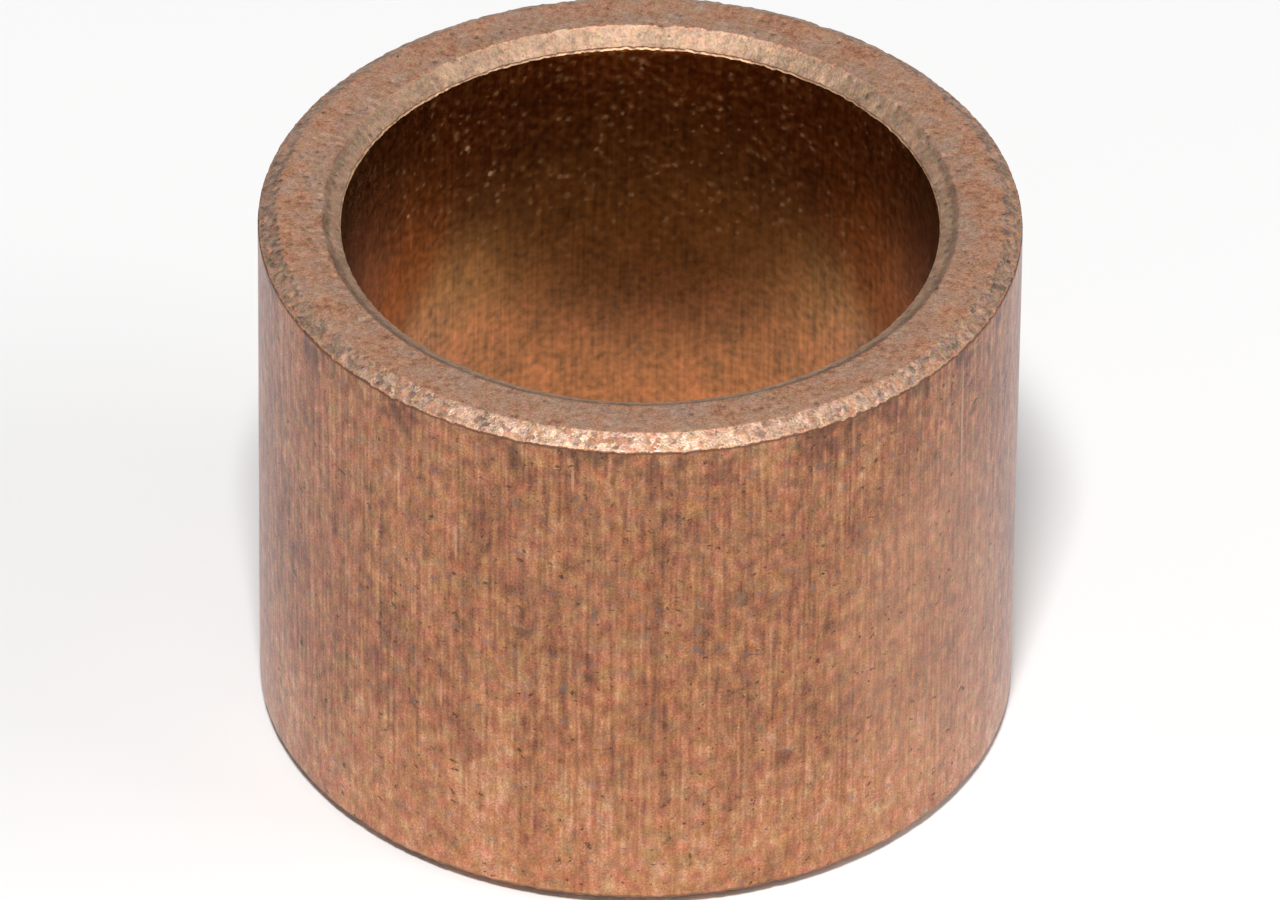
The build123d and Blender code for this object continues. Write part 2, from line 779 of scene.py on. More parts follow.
class FinishBench:
    """Where one finish is mixed: a metal shader and the patterns that feed it.

    Patterns stand in the object's own coordinates, and their sizes are in metres. The bench's
    height is that above the lower end, and its rear is the distance behind the axis.

    Args:
        name: name of the material.
    """

    # Size of a cell's spot by the cell's third number, and the part of a mark that is whole
    spot_growth: Ramp = Ramp(0.0, 1.0, start=0.5)
    whole_part: float = 0.5

    def __init__(self, name: str) -> None:
        """Starts the material."""
        self.material = bpy.data.materials.new(name)
        self.material.use_nodes = True
        self.tree = self.material.node_tree
        self.shader = self.tree.nodes["Principled BSDF"]
        self.place = self.add("ShaderNodeTexCoord").outputs["Object"]
        split = self.add("ShaderNodeSeparateXYZ")
        self.feed(split.inputs[0], self.place)
        self.height = split.outputs["Z"]
        self.rear = split.outputs["Y"]

    def add(self, kind: str, **settings: str) -> bpy.types.Node:
        """Adds a node with the given settings.

        Args:
            kind: kind of node.
            settings: its settings, by name.

        Returns:
            The node.
        """
        node = self.tree.nodes.new(kind)
        for name, value in settings.items():
            setattr(node, name, value)
        return node

    def feed(self, socket: Socket, source: Source) -> None:
        """Links a socket to its source, or sets it where the source is a plain value.

        Args:
            socket: input of a node.
            source: what goes into it.
        """
        if isinstance(source, bpy.types.NodeSocket):
            self.tree.links.new(source, socket)
        else:
            socket.default_value = source

    def worked(self, kind: str, operation: str, *values: Source) -> bpy.types.Node:
        """Adds a node that does one operation on the given values.

        Args:
            kind: kind of node.
            operation: what it does.
            values: what goes into it, in the order of its inputs.

        Returns:
            The node.
        """
        node = self.add(kind, operation=operation)
        for socket, value in zip(node.inputs, values):
            self.feed(socket, value)
        return node

    def maths(self, operation: str, *values: Source) -> Socket:
        """Works out one operation on numbers."""
        return self.worked("ShaderNodeMath", operation, *values).outputs[0]

    def vector(self, operation: str, *values: Source) -> Socket:
        """Works out one operation on vectors, with a vector as its result."""
        return self.worked("ShaderNodeVectorMath", operation, *values).outputs[0]

    def total(self, first: Source, *others: Source) -> Socket:
        """Adds up numbers.

        Args:
            first: the first number.
            others: the others.

        Returns:
            Their sum.
        """
        for value in others:
            first = self.maths("ADD", first, value)
        return first

    def product(self, first: Source, second: Source) -> Socket:
        """Multiplies two numbers."""
        return self.maths("MULTIPLY", first, second)

    def larger(self, first: Source, second: Source) -> Socket:
        """Takes the larger of two numbers."""
        return self.maths("MAXIMUM", first, second)

    def swing(self, patterns: tuple[Socket, ...], weights: Weights, about: Source = 0.0) -> Socket:
        """Patterns that swing together: about plus the sum of weight times (pattern - a half).

        Args:
            patterns: noises or random numbers, 0 to 1.
            weights: weight of each.
            about: what they swing about.

        Returns:
            The result.
        """
        result = -MIDDLE * sum(weights)
        for pattern, weight in zip(patterns, weights):
            result = self.maths("MULTIPLY_ADD", pattern, weight, result)
        return self.maths("ADD", result, about)

    def rise(self, value: Source, ramp: Ramp) -> Socket:
        """Takes a value up or down a smooth step.

        Args:
            value: number to read.
            ramp: the step.

        Returns:
            The step's result at the value.
        """
        node = self.add("ShaderNodeMapRange", interpolation_type="SMOOTHSTEP")
        for name, source in (("Value", value), ("From Min", ramp.low), ("From Max", ramp.high),
                             ("To Min", ramp.start), ("To Max", ramp.end)):
            self.feed(node.inputs[name], source)
        return node.outputs["Result"]

    def band(self, value: Source, band: Band) -> Socket:
        """Strength of a band at a value, as a step up times a step down.

        Args:
            value: number to read.
            band: the band.

        Returns:
            The strength.
        """
        up = Ramp(band.low - band.edge, band.low + band.edge, end=band.strength)
        down = Ramp(band.high + band.edge, band.high - band.edge)
        return self.product(self.rise(value, up), self.rise(value, down))

    def drawn(self, times: float, where: Socket) -> Socket:
        """Coordinates in which a pattern comes out so many times longer along the axis.

        Args:
            times: how many times longer.
            where: coordinates to start from.

        Returns:
            The coordinates.
        """
        node = self.add("ShaderNodeMapping")
        self.feed(node.inputs["Vector"], where)
        node.inputs["Scale"].default_value = (1.0, 1.0, 1.0 / times)
        return node.outputs["Vector"]

    def shaken(self, reach: float, *noises: Socket) -> Socket:
        """Coordinates pushed about at random, which gives a pattern irregular outlines.

        Args:
            reach: how far they are pushed at most.
            noises: three noises, for the push along X, Y and Z.

        Returns:
            The coordinates.
        """
        node = self.add("ShaderNodeCombineXYZ")
        for socket, noise in zip(node.inputs, noises):
            self.feed(socket, noise)
        centred = self.vector("SUBTRACT", node.outputs[0], (MIDDLE,) * 3)
        return self.vector("MULTIPLY_ADD", centred, (2 * reach,) * 3, self.place)

    def texture(self, kind: str, width: float, where: Socket) -> bpy.types.Node:
        """Adds a texture whose lumps or cells have the given width.

        Args:
            kind: kind of texture node.
            width: width of a lump or cell.
            where: coordinates.

        Returns:
            The node.
        """
        node = self.add(kind)
        self.feed(node.inputs["Vector"], where)
        node.inputs["Scale"].default_value = 1.0 / width
        return node

    def noise_texture(self, lumps: Lumps) -> bpy.types.Node:
        """Adds a smooth noise, drawn along the axis where its lumps are.

        Args:
            lumps: the noise.

        Returns:
            The node.
        """
        where = self.place if lumps.drawn == 1.0 else self.drawn(lumps.drawn, self.place)
        node = self.texture("ShaderNodeTexNoise", lumps.width, where)
        node.inputs["Detail"].default_value = lumps.layers
        return node

    def noises(self, *kinds: Lumps) -> list[Socket]:
        """Smooth noises, each 0 to 1 and mostly near a half."""
        return [self.noise_texture(lumps).outputs["Fac"] for lumps in kinds]

    def tinged(self, colour: Source, lumps: Lumps, reach: float) -> tuple[Socket, ...]:
        """Colour whose red, green and blue wander apart: each is times 1 + reach (noise - 0.5).

        Args:
            colour: colour to tinge.
            lumps: the noise.
            reach: strength of the tinge.

        Returns:
            The tinged colour and the three noises.
        """
        noise = self.noise_texture(lumps).outputs["Color"]
        factor = self.vector("MULTIPLY_ADD", noise, (reach,) * 3, (1.0 - MIDDLE * reach,) * 3)
        split = self.add("ShaderNodeSeparateColor")
        self.feed(split.inputs[0], noise)
        return (self.vector("MULTIPLY", colour, factor), *split.outputs)

    def grains(self, size: float, where: Socket) -> tuple[Socket, ...]:
        """Random grains packed side by side.

        Args:
            size: width of a grain.
            where: coordinates.

        Returns:
            The distance from the middle of the grain, in grains, and three random numbers, 0 to 1,
            that are the same all over a grain.
        """
        node = self.texture("ShaderNodeTexVoronoi", size, where)
        split = self.add("ShaderNodeSeparateColor")
        self.feed(split.inputs[0], node.outputs["Color"])
        return (node.outputs["Distance"], *split.outputs)

    def scatter(self, size: float, where: Socket) -> Scatter:
        """Random cells of the given width, each of which can hold one round spot.

        Args:
            size: width of a cell.
            where: coordinates.

        Returns:
            The cells.
        """
        distance, luck, growth, _ = self.grains(size, where)
        return Scatter(self.product(distance, size), luck, self.rise(growth, self.spot_growth))

    def spots(self, cells: Scatter, kind: Spots) -> Socket:
        """Strength of round spots in the cells, and zero outside them.

        Args:
            cells: the cells that may hold a spot.
            kind: which of them do, and how the spots look.

        Returns:
            The strength.
        """
        inside = self.maths("DIVIDE", cells.distance, self.product(cells.growth, kind.radius))
        chosen = self.product(self.maths("GREATER_THAN", cells.luck, kind.low),
                              self.maths("LESS_THAN", cells.luck, kind.high))
        return self.product(self.rise(inside, Ramp(1.0, 1.0 - kind.soft, end=kind.strength)), chosen)

    def blob(self, mark: Mark, radius: float, where: Socket) -> Socket:
        """A single mark on the wall of the given radius: its strength inside, zero round it.

        Args:
            mark: the mark.
            radius: radius of the wall that it lies on.
            where: coordinates.

        Returns:
            The strength.
        """
        apart = self.vector("SUBTRACT", where, mark.place(radius))
        scaled = self.vector("DIVIDE", apart, mark.reach)
        length = self.worked("ShaderNodeVectorMath", "LENGTH", scaled).outputs["Value"]
        return self.rise(length, Ramp(1.0, self.whole_part, end=mark.strength))

    def attribute(self, name: str) -> Socket:
        """A number stored on the mesh."""
        return self.add("ShaderNodeAttribute", attribute_name=name).outputs["Fac"]

    def palette(self, value: Source, span: Span, *shades: Shade) -> Socket:
        """Colour of a value: the first and last shade at the span's ends, the others between.

        Args:
            value: number to read.
            span: its values at the first and last shade.
            shades: the shades, which stand evenly spaced.

        Returns:
            The colour.
        """
        node = self.add("ShaderNodeValToRGB")
        self.feed(node.inputs["Fac"], value)
        stops = node.color_ramp.elements
        while len(stops) < len(shades):
            stops.new(MIDDLE)
        for stop, place, shade in zip(stops, np.linspace(*span, len(shades)), shades):
            stop.position = float(place)
            stop.color = linear(shade)
        return node.outputs["Color"]

    def blend(self, share: Source, first: Source, second: Source | Shade) -> Socket:
        """Goes from the first colour to the second as the share goes from 0 to 1.

        Args:
            share: share of the second colour.
            first: the first colour.
            second: the second colour, or its shade.

        Returns:
            The colour between them.
        """
        node = self.add("ShaderNodeMix", data_type="RGBA")
        factor, colour_a, colour_b = node.inputs[0], node.inputs[6], node.inputs[7]
        self.feed(factor, share)
        self.feed(colour_a, first)
        self.feed(colour_b, linear(second) if isinstance(second, tuple) else second)
        return node.outputs[2]

    def marked(self, colour: Source, marks: tuple[Mark, ...], radius: float, shade: Shade,
               where: Socket) -> Source:
        """Colour with single marks laid over it, one after the other.

        Args:
            colour: colour under the marks.
            marks: the marks.
            radius: radius of the wall that they lie on.
            shade: their shade.
            where: coordinates.

        Returns:
            The colour with the marks.
        """
        for mark in marks:
            colour = self.blend(self.blob(mark, radius, where), colour, shade)
        return colour

    def strengthen(self, colour: Source, factor: Source) -> Socket:
        """Colour times a factor.

        Args:
            colour: the colour.
            factor: the factor.

        Returns:
            The lighter or darker colour.
        """
        node = self.add("ShaderNodeVectorMath", operation="SCALE")
        self.feed(node.inputs[0], colour)
        self.feed(node.inputs["Scale"], factor)
        return node.outputs[0]

    def emboss(self, height: Source, depth: float) -> None:
        """Gives the shader a fine relief, whose height is given in shares of its depth.

        Args:
            height: height of the relief, 0 to 1.
            depth: depth of the relief.
        """
        bump = self.add("ShaderNodeBump")
        self.feed(bump.inputs["Height"], height)
        bump.inputs["Distance"].default_value = depth
        self.feed(self.shader.inputs["Normal"], bump.outputs["Normal"])

    def groove(self, grooved: float) -> None:
        """Broadens highlights across grooves along the axis, by a share of 0 to 1.

        Args:
            grooved: that share.
        """
        tangent = self.add("ShaderNodeTangent", direction_type="RADIAL", axis="Z")
        self.feed(self.shader.inputs["Tangent"], tangent.outputs["Tangent"])
        self.shader.inputs["Anisotropic"].default_value = grooved

    def finish(self, colour: Source, roughness: Source, oil: float = 0.0,
               metal: Source = 1.0) -> bpy.types.Material:
        """Feeds the shader.

        Args:
            colour: colour of the metal.
            roughness: roughness of the metal.
            oil: strength of the film of oil on the metal.
            metal: one on bare metal, zero where dust covers it.

        Returns:
            The material.
        """
        inputs = self.shader.inputs
        inputs["Specular Tint"].default_value = EDGE_TINT
        inputs["Coat Weight"].default_value = oil
        inputs["Coat Roughness"].default_value = OIL_ROUGHNESS
        inputs["Coat IOR"].default_value = OIL_IOR
        self.feed(inputs["Metallic"], metal)
        self.feed(inputs["Roughness"], roughness)
        self.feed(inputs["Base Color"], colour)
        return self.material


def linear(shade: Shade) -> tuple[float, float, float, float]:
    """The shader's colour for a shade given as on a screen, 0 to 255.

    Each channel c is divided by 255. Up to 0.04045 it is then divided by 12.92, and above that it
    is ((c + 0.055) / 1.055) to the power 2.4.

    Args:
        shade: red, green and blue.

    Returns:
        Red, green, blue and an opacity of 1.
    """
    c = np.array(shade) / 255
    channels = np.where(c <= 0.04045, c / 12.92, ((c + 0.055) / 1.055) ** 2.4)
    return (*channels.tolist(), 1.0)


@dataclass(frozen=True)
class SizedWall:
    """Outer wall: bronze burnished and streaked along the axis by the die, with open pores.

    Args:
        radius: radius of the wall.
    """

    radius: float

    # Shades, as on a screen
    soot: Shade = (114, 74, 56)
    brown: Shade = (148, 98, 71)
    bronze: Shade = (175, 119, 84)
    tan: Shade = (197, 142, 103)
    glint: Shade = (220, 172, 140)
    tarnish: Shade = (122, 112, 106)
    # The stain shade serves the real stains and also the painted shade under the upper chamfer
    stain_and_shade: Shade = (92, 60, 50)
    pore: Shade = (54, 44, 38)

    # Polish of the metal
    roughness: float = 0.42
    grooved: float = 0.45
    oil: float = 0.32
    relief: float = 0.006 * MM

    # Noises
    streak: Lumps = Lumps(0.05 * MM, drawn=14.0)
    stripe: Lumps = Lumps(0.08 * MM, drawn=30.0)
    grain: Lumps = Lumps(0.042 * MM)
    patch: Lumps = Lumps(0.20 * MM, drawn=1.8, layers=1.0)
    cloud: Lumps = Lumps(1.0 * MM, drawn=1.8)
    tinge: Lumps = Lumps(0.30 * MM)
    tinge_reach: float = 0.34

    # Tone, from soot to glint, which is less streaked low down and brighter there with a painted
    # reflection of the bright floor
    streak_weights: Weights = (0.22, 0.36)
    streaks_start: Ramp = Ramp(0.5 * MM, 3.0 * MM, start=0.4)
    painted_foot_light: Ramp = Ramp(4.6 * MM, 0.8 * MM, end=0.15)
    tone_weights: Weights = (0.46, 0.64, 0.26)
    middle_tone: float = 0.46
    tone_span: Span = (0.14, 0.86)

    # Painted shade in mottled patches under the upper chamfer, and a painted shadow line along the edge
    # where the wall meets the chamfer
    near_chamfer: Ramp = Ramp(0.80, 0.97)
    upper_half: Ramp = Ramp(6.0 * MM, 7.0 * MM)
    shade_patch_weights: Weights = (0.5, 0.25, 0.25)
    shade_patch_ramp: Ramp = Ramp(0.53, 0.38, end=0.55)
    fray_weights: Weights = (0.012, 0.008)
    painted_edge_shade: Band = Band(0.992, 1.11, 0.004, strength=0.6)

    # Single marks, where the photograph shows them
    mark_shake: float = 0.14 * MM
    # A broad painted highlight on the right side of the wall, round about 52 degrees from the front
    painted_side_highlight: Mark = Mark(52.0, 5.6 * MM, 7.0 * MM, 11.0 * MM, strength=0.2)
    light_scratches: tuple[Mark, ...] = (
        Mark(57.3, 10.1 * MM, 0.11 * MM, 3.8 * MM),
        Mark(-27.9, 8.9 * MM, 0.08 * MM, 1.3 * MM),
        Mark(-30.4, 4.8 * MM, 0.10 * MM, 1.0 * MM),
        Mark(-9.6, 11.2 * MM, 0.09 * MM, 1.1 * MM),
    )
    stains: tuple[Mark, ...] = (
        Mark(-17.4, 7.0 * MM, 0.42 * MM, 0.34 * MM),
        Mark(17.7, 6.43 * MM, 0.7 * MM, 0.06 * MM),
        Mark(60.3, 10.1 * MM, 0.5 * MM, 0.3 * MM),
        Mark(51.0, 9.7 * MM, 0.3 * MM, 0.5 * MM),
        Mark(23.0, 3.6 * MM, 0.5 * MM, 0.5 * MM),
    )

    # Small spots
    cell: float = 0.27 * MM
    cell_drawn: float = 0.8
    pores: Spots = Spots(0.0, 0.38, 0.09 * MM, soft=0.7, strength=0.8)
    tarnished: Spots = Spots(0.38, 0.82, 0.15 * MM, soft=1.0, strength=0.6)
    glints: Spots = Spots(0.82, 0.88, 0.05 * MM, soft=0.6, strength=0.6)

    def make(self) -> bpy.types.Material:
        """Mixes the finish.

        The streaks, patches and grain make a tone, which a palette turns into a colour, brighter low
        down with a painted reflection of the floor. Painted shade under the upper chamfer and along its
        edge, single marks with a broad painted highlight on the right side first among them, spots of
        tarnish, glints and pores are then laid over it in that order.

        Returns:
            The material.
        """
        bench = FinishBench("sized_wall")
        streak, stripe, grain, patch, cloud = bench.noises(self.streak, self.stripe, self.grain,
                                                           self.patch, self.cloud)
        streaks = bench.product(bench.swing((streak, stripe), self.streak_weights),
                                bench.rise(bench.height, self.streaks_start))
        mottle = bench.swing((grain, patch, cloud), self.tone_weights, self.middle_tone)
        # The lower wall gets a painted reflection of the bright floor near its foot
        tone = bench.total(streaks, mottle, bench.rise(bench.height, self.painted_foot_light))
        colour = bench.palette(tone, self.tone_span, self.soot, self.brown, self.bronze,
                               self.tan, self.glint)
        colour, warm, cool, mild = bench.tinged(colour, self.tinge, self.tinge_reach)

        # Painted shade: mottled patches under the upper chamfer and a shadow line along the edge where
        # the wall meets the chamfer
        zone = bench.attribute(ZONE)
        under_chamfer = bench.product(bench.rise(zone, self.near_chamfer),
                                      bench.rise(bench.height, self.upper_half))
        shade_patches = bench.swing((cloud, warm, patch), self.shade_patch_weights, MIDDLE)
        painted_shade_patches = bench.product(under_chamfer, bench.rise(shade_patches, self.shade_patch_ramp))
        frayed = bench.swing((cool, grain), self.fray_weights, zone)
        painted_shade = bench.larger(painted_shade_patches, bench.band(frayed, self.painted_edge_shade))
        colour = bench.blend(painted_shade, colour, self.stain_and_shade)

        shaken = bench.shaken(self.mark_shake, warm, grain, mild)
        # The broad painted highlight on the right side goes on first
        colour = bench.marked(colour, (self.painted_side_highlight,), self.radius, self.glint, bench.place)
        colour = bench.marked(colour, self.stains, self.radius, self.stain_and_shade, shaken)
        colour = bench.marked(colour, self.light_scratches, self.radius, self.glint, bench.place)
        cells = bench.scatter(self.cell, bench.drawn(self.cell_drawn, shaken))
        for kind, shade in ((self.tarnished, self.tarnish), (self.glints, self.glint),
                            (self.pores, self.pore)):
            colour = bench.blend(bench.spots(cells, kind), colour, shade)
        bench.emboss(grain, self.relief)
        bench.groove(self.grooved)
        return bench.finish(colour, self.roughness, self.oil)


@dataclass(frozen=True)
class PressedEnd:
    """End face and chamfers: the grain of the powder as the punches left it, brighter on edges."""

    # Shades, as on a screen
    taupe: Shade = (192, 154, 130)
    tan: Shade = (204, 158, 128)
    copper: Shade = (206, 152, 122)
    slate: Shade = (182, 153, 134)
    cream: Shade = (187, 157, 131)
    apricot: Shade = (194, 148, 120)
    pink: Shade = (190, 156, 140)
    grey: Shade = (164, 140, 126)
    gold: Shade = (222, 188, 152)
    # The burnt shade is a painted shade for the foot of the outer chamfer
    painted_foot_shade: Shade = (112, 78, 62)
    speck: Shade = (118, 102, 98)
    # The seam shade darkens the breaks in the lip line and the painted shade lines at the mouth's seams
    gap_and_shade: Shade = (118, 92, 84)
    pore: Shade = (76, 62, 58)

    # Polish of the metal, which differs from grain to grain on the outer chamfer
    roughness: float = 0.66
    glitter_weights: Weights = (-0.34,)
    relief: float = 0.006 * MM

    # Noises and grains
    grain: Lumps = Lumps(0.045 * MM)
    mottle: Lumps = Lumps(0.12 * MM, layers=1.0)
    cloud: Lumps = Lumps(0.6 * MM, layers=2.0)
    tinge: Lumps = Lumps(0.15 * MM)
    tinge_reach: float = 0.17
    grain_size: float = 0.12 * MM
    shake: float = 0.05 * MM

    # Hue of the flat ring, with a greyer line along its inner edge
    hue_weights: Weights = (0.4, 0.6)
    inner_edge: Band = Band(2.55, 3.0, 0.15, strength=0.05)
    hue_span: Span = (0.37, 0.65)

    # The two chamfers, with frayed edges
    fray_weights: Weights = (0.25, 0.12)
    outer_chamfer: Band = Band(1.10, 1.96, 0.05)
    mouth_chamfer: Band = Band(3.05, 4.1, 0.05)
    worn_span: Span = (0.0, 1.0)
    creamy: float = 0.6

    # Light and dark of the grains and patches
    granular: float = 0.16
    granular_chamfer: float = 0.18
    uneven_weights: Weights = (0.75, 1.0)
    even_mouth: float = -0.35
    cloud_weights: Weights = (0.75,)
    middle_light: float = 1.105
    dim_mouth: float = -0.14
    dim_chamfer: float = -0.06

    # The lip, and on the front part of the mouth the painted shade lines at the seams and the painted
    # light on the inner rim
    nearer: Ramp = Ramp(5.0 * MM, 1.0 * MM)
    painted_rim_light: Band = Band(3.46, 4.1, 0.12, strength=0.19)
    rim_shade_line: Band = Band(2.98, 3.14, 0.05)
    shade_line_gaps: Ramp = Ramp(0.62, 0.44, start=0.1, end=0.5)
    chamfer_shade_line: Band = Band(3.10, 3.36, 0.10, strength=0.26)
    lip: Ramp = Ramp(4.9, 5.3)
    lip_gaps: Ramp = Ramp(0.45, 0.05, end=0.6)

    # A painted shade line, frayed, where the wall begins, which also darkens the highlight on that
    # rounded edge
    foot_shade_weights: Weights = (-0.12, -0.07)
    foot_shade_edge: Ramp = Ramp(1.06, 1.03, end=0.8)

    # Small spots
    cell: float = 0.26 * MM
    specks: Spots = Spots(0.30, 0.85, 0.09 * MM, soft=0.9, strength=0.46)
    pores: Spots = Spots(0.0, 0.30, 0.055 * MM, soft=0.8, strength=0.75)
    pits: Ramp = Ramp(0.25, 0.9, end=0.6)

    def make(self) -> bpy.types.Material:
        """Mixes the finish.

        The ring has soft patches and the chamfers grains of mixed shades. Their light and dark
        come next, with painted light on the mouth's inner rim at the front, then the lip, painted shade
        lines at the mouth's seams and at the foot of the outer chamfer, and the specks and pores last.

        Returns:
            The material.
        """
        bench = FinishBench("pressed_end")
        zone = bench.attribute(ZONE)
        grain, mottle, cloud = bench.noises(self.grain, self.mottle, self.cloud)
        shaken = bench.shaken(self.shake, grain, mottle, grain)
        _, luck, hue_luck, _ = bench.grains(self.grain_size, shaken)

        hue = bench.total(bench.swing((mottle, cloud), self.hue_weights, MIDDLE),
                          bench.band(zone, self.inner_edge))
        face = bench.palette(hue, self.hue_span, self.copper, self.tan, self.taupe, self.slate)
        worn = bench.palette(hue_luck, self.worn_span, self.grey, self.apricot, self.cream,
                             self.pink, self.cream, self.grey)
        frayed = bench.swing((mottle, luck), self.fray_weights, zone)
        outer = bench.band(frayed, self.outer_chamfer)
        mouth = bench.band(frayed, self.mouth_chamfer)
        worn = bench.blend(bench.product(mouth, self.creamy), worn, self.cream)
        colour = bench.blend(bench.larger(outer, mouth), face, worn)
        colour, *_ = bench.tinged(colour, self.tinge, self.tinge_reach)

        nearer = bench.rise(bench.rear, self.nearer)
        granular = bench.product(bench.maths("SUBTRACT", luck, MIDDLE),
                                 bench.total(bench.product(outer, self.granular_chamfer),
                                             self.granular))
        uneven = bench.product(bench.swing((grain, mottle), self.uneven_weights),
                               bench.total(bench.product(mouth, self.even_mouth), 1.0))
        clouded = bench.swing((cloud,), self.cloud_weights, self.middle_light)
        # Painted light on the inner rim of the mouth, on the front part only
        rim = bench.product(bench.band(frayed, self.painted_rim_light), nearer)
        light = bench.total(granular, uneven, clouded, rim, bench.product(mouth, self.dim_mouth),
                            bench.product(outer, self.dim_chamfer))
        colour = bench.strengthen(colour, light)

        lip = bench.rise(zone, self.lip)
        lip_gaps = bench.product(lip, bench.rise(luck, self.lip_gaps))
        # Painted shade lines at the seams of the mouth, on the front part only, broken in places
        rim_shade_line = bench.product(bench.band(zone, self.rim_shade_line), bench.rise(cloud, self.shade_line_gaps))
        painted_seam_shade = bench.product(bench.larger(rim_shade_line, bench.band(frayed, self.chamfer_shade_line)), nearer)
        # Painted shade along the foot of the outer chamfer, frayed
        painted_foot_shade = bench.rise(bench.swing((mottle, luck), self.foot_shade_weights, zone), self.foot_shade_edge)
        cells = bench.scatter(self.cell, shaken)
        pits = bench.rise(bench.attribute(HOLLOW), self.pits)
        pores = bench.larger(bench.spots(cells, self.pores), pits)
        for share, shade in ((lip, self.gold), (lip_gaps, self.gap_and_shade), (painted_seam_shade, self.gap_and_shade),
                             (painted_foot_shade, self.painted_foot_shade), (bench.spots(cells, self.specks), self.speck),
                             (pores, self.pore)):
            colour = bench.blend(share, colour, shade)

        bench.emboss(grain, self.relief)
        glitter = bench.product(bench.swing((hue_luck,), self.glitter_weights), outer)
        return bench.finish(colour, bench.total(glitter, self.roughness))


@dataclass(frozen=True)
class SizedBore:
    """Bore: smoother than the outer wall, darkened by the oil it holds, with painted light towards the
    top, two soft patches of painted shade and a little dust.

    Args:
        radius: radius of the bore.
    """

    radius: float

    # Shades, as on a screen
    oiled: Shade = (160, 106, 65)
    amber: Shade = (166, 105, 66)
    olive: Shade = (155, 107, 67)
    # The steeped shade is painted light for the upper bore
    painted_top_light: Shade = (183, 133, 66)
    tarnish: Shade = (122, 96, 80)
    dust: Shade = (226, 196, 180)

    # Polish of the metal
    roughness: float = 0.23
    grooved: float = 0.4
    oil: float = 0.35

    # Noises
    streak: Lumps = Lumps(0.07 * MM, drawn=24.0)
    grain: Lumps = Lumps(0.055 * MM)
    patch: Lumps = Lumps(0.16 * MM)
    cloud: Lumps = Lumps(0.7 * MM, drawn=1.6)

    # Colour, which painted light makes lighter and yellower towards the top
    hue_weights: Weights = (0.4, 0.6)
    hue_span: Span = (0.30, 0.70)
    top_light_rise: Ramp = Ramp(4.5 * MM, 8.0 * MM, end=0.85)

    # Light and dark, with a lighter belt and two soft patches of painted shade that narrow the lit parts
    light_weights: Weights = (0.56, 0.40, 0.92, 0.55)
    middle_light: float = 1.075
    # A lighter belt round the bore, between about 6 and 8 mm above the lower end
    lighter_belt: Band = Band(6.2 * MM, 8.2 * MM, 1.2 * MM, strength=0.11)
    right_painted_shade: Mark = Mark(133.0, 6.9 * MM, 4.0 * MM, 4.2 * MM, strength=0.22)
    left_painted_shade: Mark = Mark(-134.0, 7.0 * MM, 3.4 * MM, 3.4 * MM, strength=0.12)

    # Small spots of tarnish
    cell: float = 0.19 * MM
    shake: float = 0.05 * MM
    tarnished: Spots = Spots(0.0, 0.30, 0.10 * MM, soft=0.8, strength=0.55)

    # Dust in the upper half: a faint veil, round flecks that gather in places, and three specks
    veil_weights: Weights = (0.6, 0.4)
    veil: Ramp = Ramp(0.44, 0.74, end=0.055)
    flecks: Spots = Spots(0.30, 1.0, 0.12 * MM, soft=1.0, strength=1.0)
    gathering_weights: Weights = (0.5, 0.5)
    gathering: Ramp = Ramp(0.40, 0.78, start=0.05, end=0.30)
    dusty_part: Ramp = Ramp(4.5 * MM, 9.0 * MM)
    specks: tuple[Mark, ...] = (
        Mark(-128.3, 9.13 * MM, 0.13 * MM, 0.13 * MM),
        Mark(-144.0, 10.06 * MM, 0.17 * MM, 0.17 * MM),
        Mark(-149.3, 9.17 * MM, 0.16 * MM, 0.18 * MM),
    )

    def make(self) -> bpy.types.Material:
        """Mixes the finish.

        Fine streaks and patches of oily metal come first, made lighter towards the top by painted light
        and darker in two patches of painted shade, then spots of tarnish. The dust lies
        over them, and isn't metal.

        Returns:
            The material.
        """
        bench = FinishBench("sized_bore")
        streak, grain, patch, cloud = bench.noises(self.streak, self.grain, self.patch, self.cloud)
        hue = bench.swing((patch, cloud), self.hue_weights, MIDDLE)
        colour = bench.palette(hue, self.hue_span, self.olive, self.oiled, self.oiled, self.amber)
        # Painted light: the colour goes lighter and yellower towards the top of the bore
        colour = bench.blend(bench.rise(bench.height, self.top_light_rise), colour, self.painted_top_light)
        # Two soft patches of painted shade at the back of the bore, which narrow its lit parts
        painted_bore_shade = bench.total(bench.blob(self.right_painted_shade, self.radius, bench.place),
                              bench.blob(self.left_painted_shade, self.radius, bench.place))
        light = bench.total(bench.swing((streak, grain, patch, cloud), self.light_weights,
                                        self.middle_light),
                            bench.band(bench.height, self.lighter_belt))
        colour = bench.strengthen(colour, bench.maths("SUBTRACT", light, painted_bore_shade))

        cells = bench.scatter(self.cell, bench.shaken(self.shake, grain, patch, grain))
        colour = bench.blend(bench.spots(cells, self.tarnished), colour, self.tarnish)
        veil = bench.rise(bench.swing((patch, grain), self.veil_weights, MIDDLE), self.veil)
        gathered = bench.rise(bench.swing((cloud, cells.luck), self.gathering_weights, MIDDLE),
                              self.gathering)
        fallen = bench.total(veil, bench.product(bench.spots(cells, self.flecks), gathered))
        dust = bench.product(fallen, bench.rise(bench.height, self.dusty_part))
        for speck in self.specks:
            dust = bench.larger(dust, bench.blob(speck, self.radius, bench.place))
        colour = bench.blend(dust, colour, self.dust)
        bench.groove(self.grooved)
        return bench.finish(colour, self.roughness, self.oil, bench.maths("SUBTRACT", 1.0, dust))


